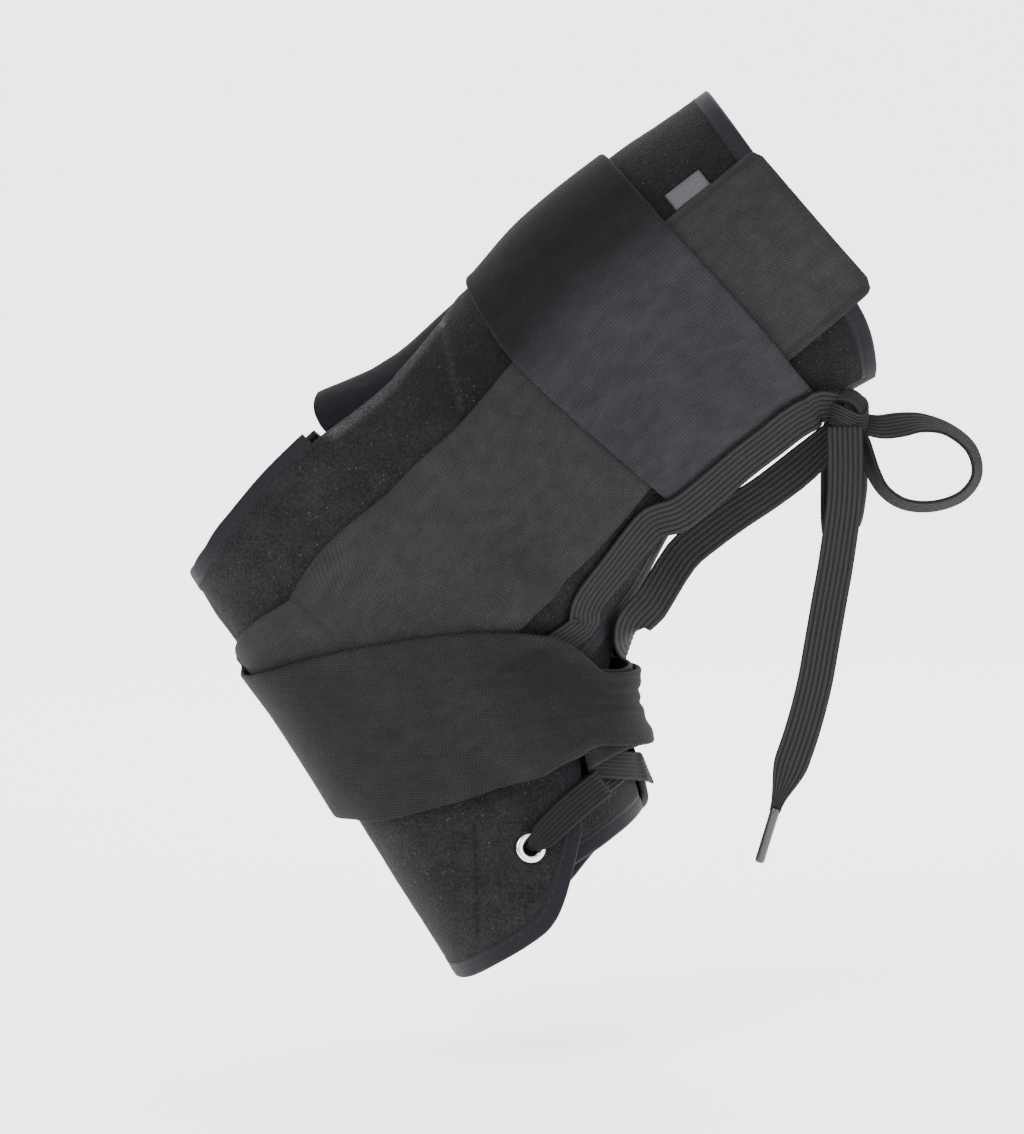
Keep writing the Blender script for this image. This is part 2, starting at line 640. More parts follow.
def cut_holes(quads, verts, rows, cols, holes):
    """The sheet's faces without those over each hole, and with a wall round it."""
    count = rows * cols
    cells = grid_quads(rows, cols)
    middle = (verts[cells].mean(1) + verts[cells + count].mean(1)) / 2
    gone = np.zeros(len(cells), bool)
    for point, radius in holes:
        gone |= np.linalg.norm(middle - point, axis=1) < radius
    gone = gone.reshape(rows - 1, cols - 1)
    gone[0] = gone[-1] = gone[:, 0] = gone[:, -1] = False
    keep = np.concatenate([~gone.ravel(), ~gone.ravel(), np.ones(len(quads) - 2 * len(cells), bool)])
    walls = []
    for i, k in zip(*np.nonzero(gone)):
        corner = i * cols + k
        for di, dk, a, b in ((-1, 0, corner, corner + 1), (1, 0, corner + cols + 1, corner + cols),
                             (0, -1, corner + cols, corner), (0, 1, corner + 1, corner + cols + 1)):
            if not gone[i + di, k + dk]:
                walls.append((a, b, b + count, a + count))
    return np.concatenate([quads[keep], np.array(walls)])


def rounded(edge, wall):
    """Half thickness at a distance from a soft edge."""
    r = 0.5 * wall
    return r * np.sqrt(np.clip(1 - (1 - np.clip(edge / r, 0, 1)) ** 2, 0.02, 1))


def layer(name, u, v, bottom, wall, edge, uv, material, nodes, relief=0.0, shade=None, holes=(), rests=()):
    """A sheet of a given wall over the form, declared as cloth with its size when laid flat."""
    half = np.full(u.shape, wall / 2) if edge is None else rounded(edge, wall)
    middle = bottom + wall / 2
    low = lifted(u, v, middle - half)
    high = lifted(u, v, middle + half + relief)
    piece = cloth(name, low, high, uv, material, nodes, shade, holes)


def across_mm(half, spacing, wall):
    """Distances across a band, crowded at both edges; rows may differ in width."""
    near = np.array([0.0, 0.12, 0.4, 0.8, 1.3]) * wall / 2
    count = int(round(2 * np.max(half) / spacing))
    inner = np.linspace(0, 1, count + 1)[1:-1]
    h = np.asarray(half)[:, None]
    left = -h + near
    right = h - near[::-1]
    mid = mix(left[:, -1:], right[:, :1], inner)
    return np.concatenate([left, mid, right], 1)


def band(rows, at, half, spacing, wall):
    """Places across a band, with the distances across and along."""
    tangent = unit(np.gradient(lifted(rows[:, 0], rows[:, 1]), axis=0))
    side = unit(np.cross(tangent, frame_at(rows[:, 0], rows[:, 1])[2]))
    across = across_mm(half, spacing, wall)
    u, v = walk(rows[:, :1], rows[:, 1:2], side[:, None, :], across)
    return u, v, across, np.broadcast_to(at[:, None], u.shape)


# Body
def rim_limits(around):
    return read(TOP_RIM, around), read(FRONT_RIM, around)


def body_grid(sign):
    """Places of one half, from the throat to the rear edge and from the top rim to the front rim."""
    crowded = np.linspace(0, 1, BODY_COLUMNS) ** 1.4
    down, across = np.meshgrid(np.linspace(0, 1, BODY_ROWS), crowded, indexing="ij")
    cut = CORNER_RISE * np.maximum(0, 1 - across / CORNER_REACH) ** 2
    around = mix(0.06, 1.0, across)
    top, front = rim_limits(around)
    along = mix(top, front - cut, down)
    for _ in range(4):
        around = mix(sign * read(THROAT, along, 1) + read(THROAT, along, 2), read(REAR_EDGE, along), across)
        top, front = rim_limits(around)
        along = mix(top, front - cut, down)
    u = sign * around
    inner = unit(form(u[:, -2], along[:, -2]) - form(u[:, -1], along[:, -1]))
    gap = np.where(np.abs(u[:, -1]) > 0.9999, SEAM_GAP / 2, SEAM_GAP)
    u[:, -1], along[:, -1] = walk(u[:, -1], along[:, -1], inner, gap)
    meets = np.abs(u[:, -1]) > SEAM_NEAR
    u[meets, -1] = sign
    return u, along


def surface_mm(u, v):
    """Rough distances over the surface, for the textures."""
    p = form(u, v)

    def reach(axis):
        step = np.linalg.norm(np.diff(p, axis=axis), axis=2)
        return np.cumsum(np.insert(step, 0, 0, axis), axis)

    return np.stack([reach(1), reach(0)], -1)


def eyelet_place(sign, index):
    """An eyelet's place, at its inset from the flap's edge."""
    v = EYELETS[index][0]
    edge = sign * (sign * read(THROAT, v, 1) + read(THROAT, v, 2))
    a, b = lifted(edge, v), lifted(edge + sign * 0.02, v)
    u, v = walk(edge, v, unit(b - a), EYELET_INSET)
    return float(u), float(v)


SIDES = (("lateral", 1), ("medial", -1))


def line_distance(p, a, b):
    """Distance from points to a segment, in the plane of the side view."""
    p, a, b = p[..., [0, 2]], np.asarray(a), np.asarray(b)
    t = np.clip(np.sum((p - a) * (b - a), -1) / np.sum((b - a) ** 2), 0, 1)
    return np.linalg.norm(p - a - t[..., None] * (b - a), axis=-1)


def px(x, y):
    """A pixel of the photo in the plane of the side view."""
    return [(x - PHOTO_ORIGIN[0]) * PHOTO_MM, (PHOTO_ORIGIN[1] - y) * PHOTO_MM]


def body(side, sign):
    """One half of the body, with its seams and eyelet holes."""
    u, v = body_grid(sign)
    p = to_row(form(u, v))
    x, y, z = np.moveaxis(p, -1, 0)
    relief = 0.12 * value_noise(x / 7, z / 7, 3) + 0.10 * value_noise(x / 2.6, y / 2.6 + z / 2.6, 5)
    shade = 0.9 * (1 + 0.10 * value_noise(x / 16, z / 16, 8)) * mix(1, 0.5, smooth((z - 5) / 45))
    for start, end, depth, change in BODY_SEAMS:
        seam = bell(line_distance(p, px(*start), px(*end)), 0.6)
        relief -= depth * seam
        shade *= 1 + change * seam
    rear = np.linalg.norm(p - p[:, -1:], axis=-1)
    seam = bell(rear - 2.2, 1.3) * smooth((v - 3.1) / 0.2) * (1 - smooth((v - 4.7) / 0.1))
    relief += 0.3 * seam
    shade *= 1 + 4.5 * seam
    row = np.arange(BODY_ROWS)[:, None]
    relief = relief * np.clip(np.minimum(row, row[::-1]) / 3, 0, 1)
    holes = []
    for i in range(len(EYELETS)):
        eu, ev = eyelet_place(sign, i)
        holes.append((to_row(lifted(eu, ev, body_bottom(eu, ev) + BODY_WALL / 2)), EYELET_HOLE))
    layer(f"pile_body_{side}", u, v, body_bottom(u, v), BODY_WALL, None, surface_mm(u, v), "pile",
          [f"body_{side}"], relief, shade, holes)
    return u, v


def edging(name, points_u, points_v, inner, bottom, wall, nodes, meets=False):
    """Tape along an edge, lapping a little over it. inner has a point inside the piece for each place."""
    p = lifted(points_u, points_v)
    normal = frame_at(points_u, points_v)[2]
    step = np.diff(p, axis=0)
    outs = []
    for run in (np.vstack([step, step[-1:]]), np.vstack([step[:1], step])):
        side = unit(np.cross(unit(run), normal))
        side[np.sum(side * (inner - p), 1) > 0] *= -1
        outs.append(side)
    outward = unit(outs[0] + outs[1])
    miter = np.minimum(1.6, 1 / np.maximum(0.3, np.sum(outward * outs[0], 1)))
    across = TAPE_ACROSS
    u, v = walk(points_u[:, None], points_v[:, None], outward[:, None, :], across * miter[:, None])
    if meets:
        held = np.abs(points_u) > 0.99
        u[held] = points_u[held][:, None]
    at = lengths(p)[:, None]
    edge = np.minimum(across - across[0], across[-1] - across) * np.ones(u.shape)
    thick = wall + BINDING_LIP
    middle = bottom(u, v) + thick / 2
    half = 0.5 * thick * np.sqrt(np.clip(1 - (1 - np.clip(edge / 0.9, 0, 1)) ** 2, 0.03, 1))
    relief = 0.10 * value_noise(at / 5 + 0 * across, across / 3 + 0 * at, 11)
    relief = relief - 0.22 * bell(across - STITCH_LINE, 0.35)
    uv = np.stack([across + 0 * at, at + 0 * across], -1)
    cloth(name, lifted(u, v, middle - half), lifted(u, v, middle + half + relief), uv, "binding", nodes)


def rim_binding(side, u, v):
    """Tape along the top rim, the flap's edge and the front rim of one half."""
    rows, cols = u.shape
    pairs = [((0, k), (3, k)) for k in range(cols - 1, 0, -1)]
    pairs.append(((0, 0), (3, 3)))
    pairs += [((i, 0), (i, 3)) for i in range(1, rows - 1)]
    pairs.append(((rows - 1, 0), (rows - 4, 3)))
    pairs += [((rows - 1, k), (rows - 4, k)) for k in range(1, cols)]
    on_edge, inside = (tuple(np.array(places).T) for places in zip(*pairs))
    edging(f"tape_rim_{side}", u[on_edge], v[on_edge], form(u[inside], v[inside]), body_bottom, BODY_WALL,
           [f"rim_binding_{side}"], True)


def heel_binding(side, u, v):
    """Tape along the open heel of one half."""
    keep = (v[:, -1] > HEEL_TOP + 0.14) & (v[:, -1] < HEEL_BOTTOM) & (np.abs(u[:, -1]) < SEAM_NEAR)
    inner = form(u[keep, -4], v[keep, -4])
    edging(f"tape_heel_{side}", u[keep, -1], v[keep, -1], inner, body_bottom, BODY_WALL,
           [f"heel_binding_{side}"])


def gusset():
    """The panel behind the ankle, from where the halves part down to the open heel."""
    share = np.linspace(0, 1, 60)
    down = share[:, None]
    middle = 1 - np.abs(2 * share - 1)
    above = np.linspace(GUSSET_TOP - 0.5, GUSSET_TOP, 200)
    parted = read(REAR_EDGE, above) < 0.992
    top = above[np.argmax(parted)] if parted.any() else GUSSET_TOP
    v = mix(top, HEEL_TOP - 0.2 * smooth(middle), down)
    edge = read(REAR_EDGE, v)
    u = mix(edge, 2 - edge, share)
    apart = unit(form(u[:, -1], v[:, -1]) - form(u[:, 0], v[:, 0]))
    u[:, 0], v[:, 0] = walk(u[:, 0], v[:, 0], apart, SEAM_GAP)
    u[:, -1], v[:, -1] = walk(u[:, -1], v[:, -1], -apart, SEAM_GAP)
    mm = surface_mm(u, v)
    ease = 4 * share * (1 - share)
    relief = 0.5 * ease * np.sin(down * 9.0) * 0.4 + 0.15 * value_noise(mm[..., 0] / 5, mm[..., 1] / 5, 21)
    relief = relief * np.clip(np.minimum(down, 1 - down) * 12, 0, 1)
    layer("panel_heel", u, v, body_bottom(u, v), GUSSET_WALL, None, mm, "gusset", ["heel_gusset"], relief,
          rests=["body_lateral", "body_medial"])


def on_skin(u, v):
    return np.full(np.shape(u), SKIN_GAP)


def tongue():
    """The tongue under both flaps, with a tape at each end."""
    down, across = np.meshgrid(np.linspace(0, 1, 200), np.linspace(0, 1, 34), indexing="ij")
    bulge = 1 - (2 * across - 1) ** 2
    v = mix(TONGUE_TOP - 0.12 * bulge, TONGUE_FRONT - 0.06 * (1 - bulge), down)
    half = read(THROAT, v, 2) + TONGUE_COVER - 0.02
    u = read(THROAT, v, 1) + half * (2 * across - 1)
    mm = surface_mm(u, v)
    relief = 0.12 * value_noise(mm[..., 0] / 6, mm[..., 1] / 6, 31)
    relief = relief * np.clip(np.minimum(down, 1 - down) * 40, 0, 1)
    layer("pile_tongue", u, v, on_skin(u, v), TONGUE_WALL, None, mm, "pile", ["tongue"], relief)
    for end, edge, inside in (("top", 0, 3), ("front", -1, -4)):
        edging(f"tape_tongue_{end}", u[edge], v[edge], form(u[inside], v[inside]), on_skin,
               TONGUE_WALL - BINDING_LIP, [f"tongue_binding_{end}"])


def strap(name, node, start, side, bottom, seed, tone):
    """A webbing strap from its gathered start, under the sole and up to its stitched free end."""
    rows, at = strap_samples(start, side, 1.3)
    to_corner = STRAP_CORNER - np.minimum(at[-1] - at, STRAP_CORNER)
    half = half_strap(rows[:, 2]) - STRAP_CORNER + np.sqrt(STRAP_CORNER ** 2 - to_corner ** 2)
    u, v, across, along = band(rows, at, half, 1.4, STRAP_WALL)
    half = half[:, None]
    to_end = at[-1] - along
    selvage = np.minimum(across + half, half - across)
    edge = np.minimum(selvage, np.minimum(along, to_end))
    gather = smooth(np.clip(rows[:, 2:3], 0, 1) * 1.3)
    pleats = 0.55 * gather * (0.5 + 0.5 * np.sin(across / half * 13 + 0.6 * np.sin(along / 9)))
    waves = 0.45 * value_noise(along / 24 + 5, across / 30 + 9, seed)
    waves = waves + 0.14 * value_noise(along / 7, across / 9, seed + 1)
    stitched = bell(np.minimum(selvage, to_end) - STITCH_INSET, 0.5) * smooth((STITCHED_END - to_end) / 6)
    relief = (pleats + 0.5 * (waves + 0.45)) * np.clip(edge / 3, 0, 1) + 0.12 * bell(selvage - 1.2, 0.6)
    relief = relief - 0.15 * stitched
    turn = np.abs(wrapped(u))
    shade = tone * (1 + 0.10 * value_noise(along / 14, across / 12, seed + 2))
    shade = shade * (1 - 0.18 * bell(selvage, 0.8))
    shade = shade * mix(1, mix(0.22, 1, smooth((turn - 0.02) / 0.34)), smooth((v - 5.5) / 0.5))
    shade = shade * mix(1, mix(1, 0.5, smooth((turn - 0.5) / 0.3)), smooth((v - 7) / 0.6))
    uv = np.stack([across + 0 * along, along], -1)
    shade = shade * (1 - 0.4 * stitched)
    layer(name, u, v, bottom(u, v), STRAP_WALL, edge, uv, "webbing", [node], relief, shade,
          rests=["body_lateral", "body_medial"])


def cuff():
    """The strap round the leg, lapping its own start."""
    cols = 44
    around = CUFF_START + (2 + CUFF_OVERLAP / CUFF_GIRTH) * np.linspace(0, 1, 330)
    turn = np.abs(wrapped(around))
    upper, lower = read(CUFF_EDGES, turn, 1), read(CUFF_EDGES, turn, 2)
    inner = np.linspace(0.03, 0.97, cols - 8)
    share = np.concatenate([[0, 0.004, 0.012, 0.022], inner, [0.978, 0.988, 0.996, 1]])
    v = mix(upper[:, None], lower[:, None], share)
    u = around[:, None] + 0 * v
    lift = smooth((around - CUFF_START - 2 + 0.08) / 0.06)[:, None] * (CUFF_WALL + CLOTH_GAP)
    across = surface_mm(u, v)[..., 0]
    along = lengths(form(u, v)[:, cols // 2])[:, None]
    selvage = np.minimum(across, across[:, -1:] - across)
    edge = np.minimum(selvage, np.minimum(along, along[-1] - along))
    wave = 0.25 * value_noise(along / 26 + 3, across / 30 + 7, 41)
    wave = wave + 0.08 * value_noise(along / 6, across / 8, 42)
    relief = (0.3 + wave) * np.clip(edge / 3, 0, 1) * 0.6 + 0.15 * bell(selvage - 1.4, 0.7)
    back = smooth((np.abs(wrapped(u)) - 0.56) / 0.2)
    shade = 0.8 * (1 - 0.82 * back) * (1 + 0.06 * value_noise(along / 12, across / 10, 43))
    uv = np.stack([across, along + 0 * across], -1)
    layer("knit_cuff", u, v, cuff_bottom(u, v) + lift, CUFF_WALL, edge, uv, "knit", ["cuff_strap"], relief,
          shade, rests=["strap_lateral", "strap_medial"])


def label():
    """The tag on the body, against the rear edge of a strap near the top rim."""
    rows, _ = strap_samples(UNDER_START, -1, 1.0)
    i = int(np.argmin(np.abs(rows[:, 1] - 0.5)))
    points = lifted(rows[:, 0], rows[:, 1])
    up = unit(points[i + 3] - points[i - 3])
    rear = unit(np.cross(up, frame_at(rows[i, 0], rows[i, 1])[2]))
    if rear[0] > 0:
        rear = -rear
    near = walk(rows[i, 0], rows[i, 1], rear, STRAP_WIDTH / 2 + SEAM_GAP)
    along = np.linspace(-LABEL_LENGTH / 2, LABEL_LENGTH / 2, 20)
    su, sv = walk(*near, np.broadcast_to(up, (20, 3)), along)
    along = along[:, None]
    across = np.linspace(0, LABEL_WIDTH, 12) + 0 * along
    u, v = walk(su[:, None], sv[:, None], rear, across)
    edge = np.minimum(np.minimum(across, LABEL_WIDTH - across), LABEL_LENGTH / 2 - np.abs(along))
    uv = np.stack([across, along + 0 * across], -1)
    layer("tag_label", u, v, body_top(u, v) + SEAM_GAP, LABEL_WALL, edge, uv, "label", ["label_tag"], 0.05)


def lathe(name, profile, segments, centre, axis, material, nodes):
    """A solid of revolution about an axis in the row frame."""
    axis = unit(axis)
    side = unit(np.cross(axis, [0.3, 0.9, 0.2]))
    other = np.cross(axis, side)
    angle = np.linspace(0, 2 * math.pi, segments, endpoint=False)[:, None]
    r, h = np.array(profile).T
    p = centre + (r * np.cos(angle))[..., None] * side + (r * np.sin(angle))[..., None] * other
    p = p + (h + 0 * angle)[..., None] * axis
    n = len(profile)
    quads = []
    for i in range(segments):
        a, b = i * n, ((i + 1) % segments) * n
        quads += [(a + k, b + k, b + (k + 1) % n, a + (k + 1) % n) for k in range(n)]
    return mesh_piece(name, p.reshape(-1, 3), quads, material, nodes)


def eyelets():
    """Metal rings: each a barrel through the body and a rounded flange. The profile is radius, height."""
    rim = [(2.2, -2.6), (2.6, -2.75), (2.8, -2.6), (2.8, 0.0), (3.3, 0.02), (4.1, 0.0),
           (4.38, 0.12), (4.4, 0.32), (4.2, 0.58), (3.8, 0.72), (3.2, 0.74), (2.75, 0.66), (2.35, 0.45), (2.2, 0.1)]
    for side, sign in SIDES:
        for i in range(len(EYELETS)):
            u, v = eyelet_place(sign, i)
            centre = to_row(lifted(u, v, body_top(u, v) + 0.5))
            lathe(f"ring_{side}_{i + 1}", rim, 48, centre, to_row(frame_at(u, v)[2]), "eyelet_metal",
                  [f"eyelet_{side}_{i + 1}"])


# Lace
def lace_band(name, centre, across, half, nodes, thickness=1.25, twist=0.0,
              tone=1.0):
    """A flat braid along a centre line in the row frame. half is the half width at each point."""
    tangent = unit(np.gradient(centre, axis=0))
    across = unit(across - np.sum(across * tangent, 1, keepdims=True) * tangent)
    face = np.cross(tangent, across)
    turn = np.broadcast_to(twist, len(centre))[:, None]
    across, face = across * np.cos(turn) + face * np.sin(turn), face * np.cos(turn) - across * np.sin(turn)
    at = lengths(centre)
    s = np.linspace(-1, 1, 6 * LACE_RIBS + 1)
    ridge = np.abs(np.cos(s * LACE_RIBS * math.pi / 2))
    wall = thickness / 2 * (0.62 + 0.38 * ridge) * np.clip((1 - s ** 2) * 6, 0.15, 1) ** 0.5
    flat = centre[:, None] + across[:, None] * (s * half[:, None])[..., None]
    raised = face[:, None] * wall[None, :, None]
    rows, cols = len(centre), len(s)
    verts = np.concatenate([(flat - raised).reshape(-1, 3), (flat + raised).reshape(-1, 3)])
    quads = sheet_faces(verts, rows, cols, np.repeat(face, cols, axis=0))
    uv = np.stack([s * half[:, None], at[:, None] + 0 * s], -1).reshape(-1, 2)
    ridges = np.tile(tone * ridge, 2 * rows)
    o = mesh_piece(name, verts, quads, "lace", nodes, np.concatenate([uv, uv]), {"ridge": ridges})


# Distance from the eyelet, height over the body and half width of a strand that leaves it
EYELET_EXIT = [(0.0, -1.3, 1.2), (0.3, 0.2, 1.5), (1.0, 1.8, 2.4), (3.5, 2.2, 3.9), (6.2, 1.7, 4.2),
               (9.0, 1.3, 4.3)]


def on_form_station(u, v, target, height):
    """A point over the form, and the direction across a strand that runs towards a target place."""
    n = frame_at(u, v)[2]
    across = unit(np.cross(lifted(*target) - lifted(u, v), n))
    return lifted(u, v, height + LACE_WALL / 2), across


def across_strand(u, v, direction, half):
    """Three places across a strand: both edges and the middle."""
    return walk(np.full(3, u), np.full(3, v), np.broadcast_to(direction, (3, 3)), np.array([-half, 0, half]))


def crossing(side, sign, index):
    """A strand from an eyelet over the flap and into the throat, ended short of the far flap."""
    start, target = eyelet_place(sign, index), eyelet_place(-sign, index + 1)
    run = np.linalg.norm(lifted(*start) - lifted(*target))
    half = EYELETS[index][1] / 2

    def on_way(t):
        return mix(start[0], target[0], t), mix(start[1], target[1], t)

    def aside(u, v):
        return sign * (wrapped(u) - read(THROAT, v, 1))

    short = 0.0 if sign < 0 else 0.035
    end = 1.0
    while -aside(*on_way(end)) - read(THROAT, on_way(end)[1], 2) > -BINDING_REACH - short:
        end -= 0.01
    in_throat = SKIN_GAP + TONGUE_WALL + CLOTH_GAP + (LACE_WALL + CROSSING_EASE if sign < 0 else 0)
    stations = []
    for distance, height, exit_half in EYELET_EXIT:
        u, v = on_way(distance / run)
        stations.append((*on_form_station(u, v, target, body_top(u, v) + height), exit_half))
    for i in range(1, 12):
        u, v = on_way(mix(EYELET_EXIT[-1][0] / run, end, i / 11))
        eu, ev = across_strand(u, v, on_form_station(u, v, target, 0)[1], half)
        nearest = np.max(aside(eu, ev) - read(THROAT, ev, 2))
        on_flap = smooth((nearest + BINDING_REACH + 0.03) / 0.02)
        over = np.max(body_top(eu, ev)) + CLOTH_GAP + BINDING_LIP
        stations.append((*on_form_station(u, v, target, mix(in_throat, over, on_flap)), half))
    points, sides, halves = (np.array(column) for column in zip(*stations))
    rows = catmull(np.hstack([to_row(points), to_row(sides), halves[:, None]]), 6)
    lace_band(f"braid_cross_{side}_{index + 1}", rows[:, :3], rows[:, 3:6], rows[:, 6],
              [f"lace_cross_{side}_{index + 1}"], 1.0, tone=0.4)


# The upper strands' places, then free points in the foot's frame from the sole, then ends in the row frame
STRAND_A_PLACES = [[0.134, 5.10], [0.160, 4.60], [0.172, 3.95], [0.165, 3.30], [0.141, 2.75], [0.130, 2.15],
                   [0.136, 1.55], [0.150, 1.10], [0.142, 0.78]]
STRAND_B_PLACES = [[-0.110, 5.36], [-0.020, 5.24], [0.045, 5.00], [0.084, 4.58], [0.084, 4.05]]
STRAND_B_FREE = [[50.9, -11, 125.9], [49.6, -12, 136], [49.2, -13, 147], [49.3, -14, 158.3], [48.5, -15, 171]]
STRAND_A_END, STRAND_B_END, STRAND_END_HALF = [123.6, -22.0, 35.6], [123.4, -19.6, 29.0], 4.2
KNOT, KNOT_SIZE = np.array([125.8, -21, 33.6]), np.array([5.4, 6.0, 8.0])
# The bow's routes, in the row frame
LOOP_ONE = [[128.0, -21, 31.5], [131.3, -21, 30.5], [135.5, -21, 29.9], [141, -21, 30.5], [147.5, -21.3, 31],
            [155, -21.6, 29], [161.5, -22, 23.5], [163.2, -22, 16], [159, -22, 9.8], [151, -21.8, 6.8],
            [142.6, -21.6, 7.2], [136.4, -21.4, 11], [132.6, -21.2, 17.5], [129.9, -21, 25.9],
            [128.0, -21, 29.0]]
LOOP_TWO = [[126.5, -14.7, 32], [126, -7, 31.5], [125, 2, 30], [124, 11, 26], [124, 16.5, 19], [124, 18, 10],
            [124, 15, 2], [124.5, 8, -2], [125.5, 1, 1], [126.5, -5, 9], [127, -10.5, 17], [127, -15.2, 25.4]]
END_ONE = [[124.5, -26.9, 30], [124.7, -28.6, 18.6], [124.3, -29.3, 8], [123.2, -29.3, -1.2], [121.8, -29, -11],
           [120.1, -29, -20.7], [118, -29, -33], [115.9, -28.6, -45], [112.6, -28, -58], [108.6, -27.6, -70],
           [105.8, -27.3, -78], [104.9, -27.1, -81]]
END_TWO = [[124.4, -20, 25.3], [124.6, -19.5, 17], [124.6, -18.5, 8], [123.0, -18.5, -3], [120.6, -18.5, -18],
           [118.2, -18.5, -31], [116.4, -18.5, -41]]


def turned(points, sides, halves, normals, amount):
    """Strand stations rolled part way towards the outer side of the foot, and lifted to stay clear."""
    tangent = unit(np.gradient(points, axis=0))
    sides = unit(sides - np.sum(sides * tangent, 1, keepdims=True) * tangent)
    facing = unit(np.cross(tangent, [0.0, -1.0, 0.0]))
    facing *= np.sign(np.sum(facing * sides, 1, keepdims=True))
    rolled = unit(sides * (1 - amount[:, None]) + facing * amount[:, None])
    lean = np.abs(np.sum(rolled * normals, 1))
    return points + normals * (halves * lean)[:, None], rolled


def lace_bottom(u, v):
    """What an upper strand lies on: the body, and the cuff strap where that passes."""
    on_body = body_top(u, v) + CLOTH_GAP + BINDING_LIP
    on_cuff = cuff_bottom(u, v) + CUFF_WALL + CLOTH_GAP
    share = smooth((v - 0.3) / 0.35) * (1 - smooth((v - 2.95) / 0.4))
    return mix(on_body, on_cuff, share)


def upper_strand(name, node, sign, places, free, knot_end, lift, roll, roll_from):
    """A strand from the last eyelet, over the flap and the cuff strap, to the knot."""
    start = eyelet_place(sign, len(EYELETS) - 1)
    first = tuple(places[0])
    run = np.linalg.norm(lifted(*start) - lifted(*first))
    stations = []
    for distance, height, half in EYELET_EXIT:
        t = distance / run
        if t < 0.9:
            u, v = mix(start[0], first[0], t), mix(start[1], first[1], t)
            point, side = on_form_station(u, v, first, body_top(u, v) + height)
            stations.append((point, side, half, frame_at(u, v)[2]))
    half = LACE_WIDTH / 2
    rows, _ = path_on_form(places, 3.0)
    for i, (u, v) in enumerate(rows):
        target = rows[i + 1] if i < len(rows) - 1 else 2 * rows[i] - rows[i - 1]
        under = lace_bottom(*across_strand(u, v, on_form_station(u, v, target, 0)[1], half))
        point, side = on_form_station(u, v, target, np.max(under) + lift * smooth((5.15 - v) / 0.5))
        spread = mix(EYELET_EXIT[-1][2], half, smooth((i + 2) / 4))
        stations.append((point, side, spread, frame_at(u, v)[2]))
    for x, y, z in free:
        stations.append((np.array([x, y, z - ANKLE_HEIGHT]), side, half, np.zeros(3)))
    points, sides, halves, normals = (np.array(column) for column in zip(*stations))
    points = np.vstack([to_row(points), knot_end])
    sides = np.vstack([to_row(sides), to_row(side)])
    normals = np.vstack([to_row(normals), np.zeros(3)])
    halves = np.append(halves, STRAND_END_HALF)
    share = np.arange(len(points)) / (len(points) - 1)
    points, sides = turned(points, sides, halves, normals, roll * smooth((share - roll_from) / 0.3))
    rows = catmull(np.hstack([points, sides, halves[:, None]]), 3)
    lace_band(name, rows[:, :3], rows[:, 3:6], rows[:, 6], [node], 1.1)


def smoothed(points, spacing=1.2):
    fine = catmull(points, 12)
    return spaced(fine, fine, spacing)[0]


def rotation(angle, first, second):
    """A turn in the plane of two axes."""
    turn = np.eye(3)
    turn[first, first] = turn[second, second] = math.cos(angle)
    turn[first, second], turn[second, first] = -math.sin(angle), math.sin(angle)
    return turn


# Each wrap of the knot: tilt, turn, phase, size
KNOT_WRAPS = [(0.25, 0.0, 0.0, 0.92), (-0.75, 0.9, 1.1, 0.84), (1.15, 2.0, 2.3, 0.74), (0.0, 1.57, 0.4, 0.66)]


def knot():
    """The knot: lace ends wound round each other."""
    t = np.linspace(0, 2 * math.pi, 90)
    for k, (tilt, turn, phase, size) in enumerate(KNOT_WRAPS):
        ring = np.stack([np.cos(t + phase), np.sin(t + phase), 0.18 * np.sin(2 * t)], -1)
        ring = ring @ rotation(tilt, 1, 2).T @ rotation(turn, 2, 0).T
        across = np.cross(ring, np.gradient(ring, axis=0))
        half = np.full(len(ring), 3.1 - 0.3 * k)
        lace_band(f"braid_knot_{k + 1}", KNOT + ring * KNOT_SIZE * size, across, half,
                  ["lace_knot"] if k == 0 else None, 1.9)


def aglet(name, points, node):
    """The tip on a lace's end, turned from a profile of radius, height."""
    tip = np.array(points[-1], float)
    direction = unit(tip - points[-2])
    profile = [(0.2, 0), (1.1, 0.05), (1.42, 0.4), (1.5, 1.2), (1.44, 2.0), (1.42, 8), (1.40, 14),
               (1.46, 15.2), (1.44, 16.2), (1.2, 16.8), (0.6, 17.0), (0.1, 17.0)]
    return lathe(name, profile, 32, tip + direction * SEAM_GAP, direction, "aglet", [node])


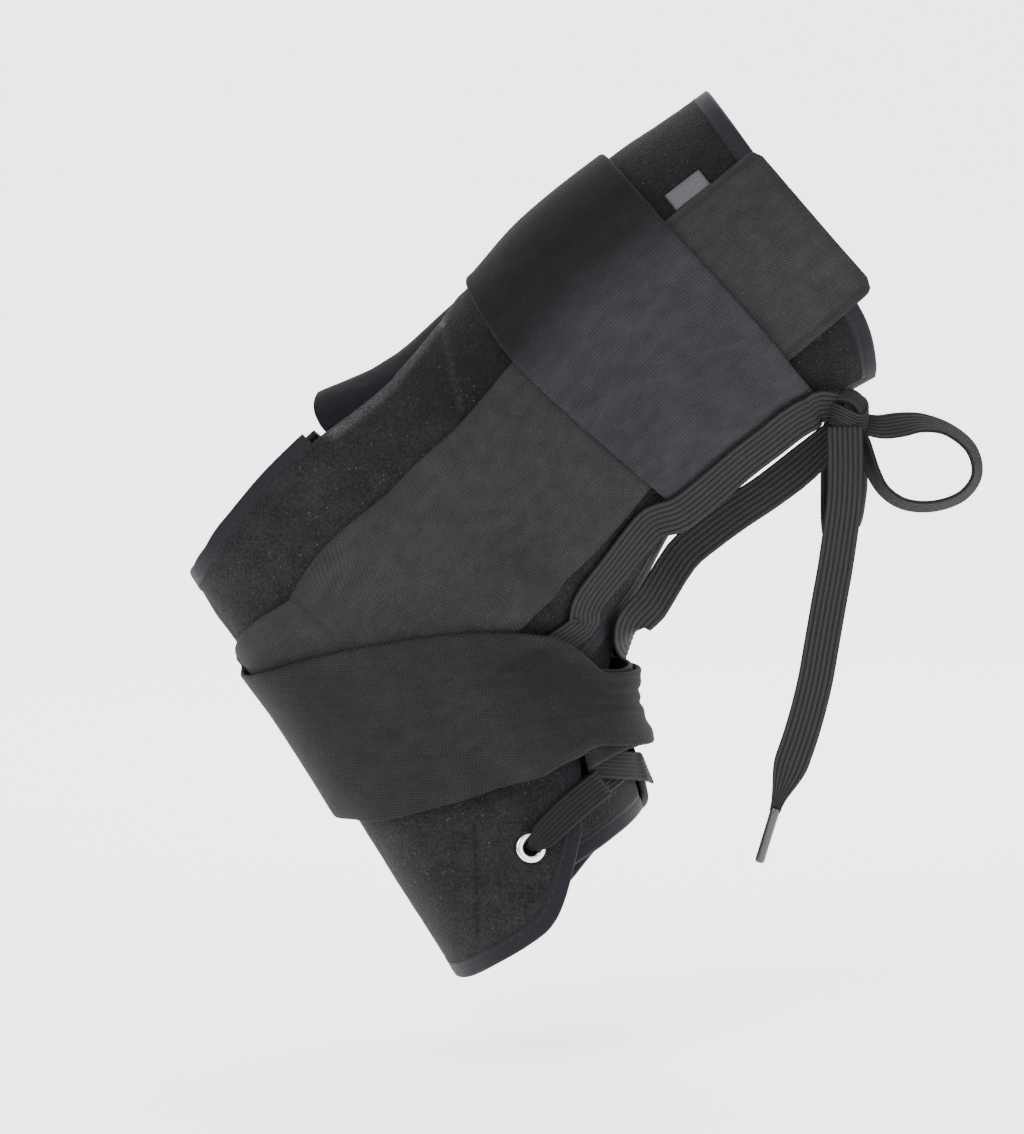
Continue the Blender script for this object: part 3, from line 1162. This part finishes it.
def laces():
    """The crossings, the upper strands and the bow."""
    for side, sign in SIDES:
        for i in range(len(EYELETS) - 1):
            crossing(side, sign, i)
    upper_strand("braid_upper_lateral", "lace_upper_lateral", 1, STRAND_A_PLACES, [], STRAND_A_END, 0,
                 0.55, 0.22)
    upper_strand("braid_upper_medial", "lace_upper_medial", -1, STRAND_B_PLACES, STRAND_B_FREE, STRAND_B_END,
                 1.6, 0.9, 0.5)
    knot()
    for place, points, across in (("front", LOOP_ONE, [0.0, 1, 0]), ("rear", LOOP_TWO, [1.0, 0, 0])):
        centre = smoothed(points)
        t = np.linspace(0, 1, len(centre))
        half = mix(0.3, 0.5, smooth(6 * np.minimum(t, 1 - t))) * LACE_WIDTH
        twist = 0.28 + 0.75 * smooth((0.3 - t) / 0.3) + 0.25 * smooth((t - 0.8) / 0.2)
        lace_band(f"braid_loop_{place}", centre, np.broadcast_to(across, centre.shape), half,
                  [f"lace_loop_{place}"], twist=twist)
    for place, points, share in (("front", END_ONE, 1.0), ("rear", END_TWO, 0.85)):
        tip = aglet(f"tip_{place}", points, f"aglet_{place}")
        last = np.array(points[-1], float)
        centre = smoothed([*points, last + unit(last - points[-2]) * 1.5])
        t = np.linspace(0, 1, len(centre))
        half = share * mix(0.47, 0.15, smooth((t - 0.86) / 0.14)) * LACE_WIDTH
        lace_band(f"braid_end_{place}", centre, np.broadcast_to([1.0, 0, 0], centre.shape), half,
                  [f"lace_end_{place}"])


laces()
for side, sign in SIDES:
    u, v = body(side, sign)
    rim_binding(side, u, v)
    heel_binding(side, u, v)
gusset()
tongue()
strap("twill_strap_lateral", "strap_lateral", UNDER_START, -1, under_bottom, 51, 0.78)
strap("twill_strap_medial", "strap_medial", OVER_START, 1, over_bottom, 61, 0.54)
cuff()
label()
eyelets()


# Stage
FLOOR_Z, BACKDROP_Y, BACKDROP_RADIUS, BACKDROP_TOP = -0.155, 1.6, 0.8, 3.2
FLOOR_NEAR, FLOOR_HALF_WIDTH = -2.5, 3.5
FLOOR_GLOW, WORLD_STRENGTH = 1.6, 1.2
LIGHT_TARGET = (0.02, 0, 0)
LIGHTS = [("key", (-0.9, -1.5, 1.3), 1.2, 46), ("fill", (1.3, -1.2, 0.5), 1.4, 19),
          ("back", (0.3, 1.1, 1.3), 1.0, 16)]


def stage():
    """A pale floor that curves up into a backdrop, soft lights and an even sky."""
    profile = [(FLOOR_NEAR, FLOOR_Z), (BACKDROP_Y, FLOOR_Z)]
    for k in range(1, 13):
        a = k / 12 * math.pi / 2
        y = BACKDROP_Y + BACKDROP_RADIUS * math.sin(a)
        profile.append((y, FLOOR_Z + BACKDROP_RADIUS * (1 - math.cos(a))))
    profile.append((BACKDROP_Y + BACKDROP_RADIUS, BACKDROP_TOP))
    verts = [(x, y, z) for y, z in profile for x in (-FLOOR_HALF_WIDTH, FLOOR_HALF_WIDTH)]
    faces = [(2 * i, 2 * i + 1, 2 * i + 3, 2 * i + 2) for i in range(len(profile) - 1)]
    mesh = bpy.data.meshes.new("floor")
    mesh.from_pydata(verts, [], faces)
    mesh.polygons.foreach_set("use_smooth", np.ones(len(faces), bool))
    t = Tree("floor")
    n = t.noise(t.objectmm(), 300.0, 2.0)
    mesh.materials.append(t.finish(t.blend(n, (0.90, 0.90, 0.90), (0.93, 0.93, 0.93)), 0.9,
                                   Emission_Color=(1, 1, 1, 1), Emission_Strength=FLOOR_GLOW))
    o = bpy.data.objects.new("floor", mesh)
    bpy.context.scene.collection.objects.link(o)
    world = bpy.data.worlds.new("studio")
    world.use_nodes = True
    background = world.node_tree.nodes["Background"]
    background.inputs[0].default_value = (1, 1, 1, 1)
    background.inputs[1].default_value = WORLD_STRENGTH
    bpy.context.scene.world = world
    for light in LIGHTS:
        area(*light)


stage()
